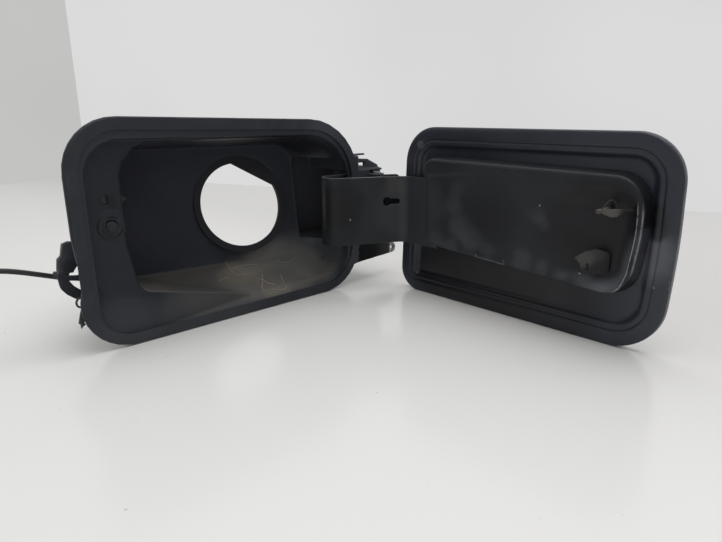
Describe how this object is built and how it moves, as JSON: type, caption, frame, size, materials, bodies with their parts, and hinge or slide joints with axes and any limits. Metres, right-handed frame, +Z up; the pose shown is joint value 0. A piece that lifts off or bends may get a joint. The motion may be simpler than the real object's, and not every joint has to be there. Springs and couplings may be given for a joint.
{
  "type": "fuel filler flap with housing",
  "caption": "Car fuel filler flap: a black plastic housing with a deep pot and a filler neck hole, and a painted lid open on a gooseneck arm.",
  "frame": {"origin": "middle of the whole part's footprint, without the lead, on the table it stands on", "axes": "+Z up, +Y into the pot, away from the car's outside, +X along the housing towards the hinge"},
  "size_m": [0.4663, 0.3706, 0.1673],
  "materials": {
    "housing_plastic": "satin moulded",
    "lid_plastic": "satin moulded",
    "rubber": "matt",
    "lid_paint": "gloss, worn",
    "steel": "dull",
    "bush_plastic": "matt",
    "winding": "wound",
    "lead_sheath": "matt"
  },
  "bodies": {
    "housing": {"filler_housing": "housing_plastic", "rim_seal": "rubber", "neck_seal": "rubber", "bump_stop": "rubber", "lock_casing": "housing_plastic", "lock_cover": "housing_plastic", "lock_screws": "steel", "lock_coil": "winding", "pin_gaiter": "rubber", "hinge_pin": "steel", "pin_clip": "steel", "hinge_spring": "steel", "retaining_clips": "steel", "lead_guide": "rubber", "lock_lead": "lead_sheath", "lead_coil": "lead_sheath", "lead_plug": "housing_plastic"},
    "bolt": {"lock_pin": "steel"},
    "lid": {"lid_skin": "lid_paint", "lid_inner": "lid_paint", "lid_carrier": "lid_plastic", "carrier_rivets": "steel", "hinge_bushes": "bush_plastic", "latch_wire": "steel"}
  },
  "joints": [
    {"name": "lid_hinge", "type": "hinge", "parent": "housing", "child": "lid", "pos_m": [0.1317, 0.09864, 0.0805], "axis": [0, 0, 1], "range_deg": [-90, 0]},
    {"name": "bolt_slide", "type": "slide", "parent": "housing", "child": "bolt", "axis": [1, 0, 0], "range_m": [0, 0.009]}
  ]
}
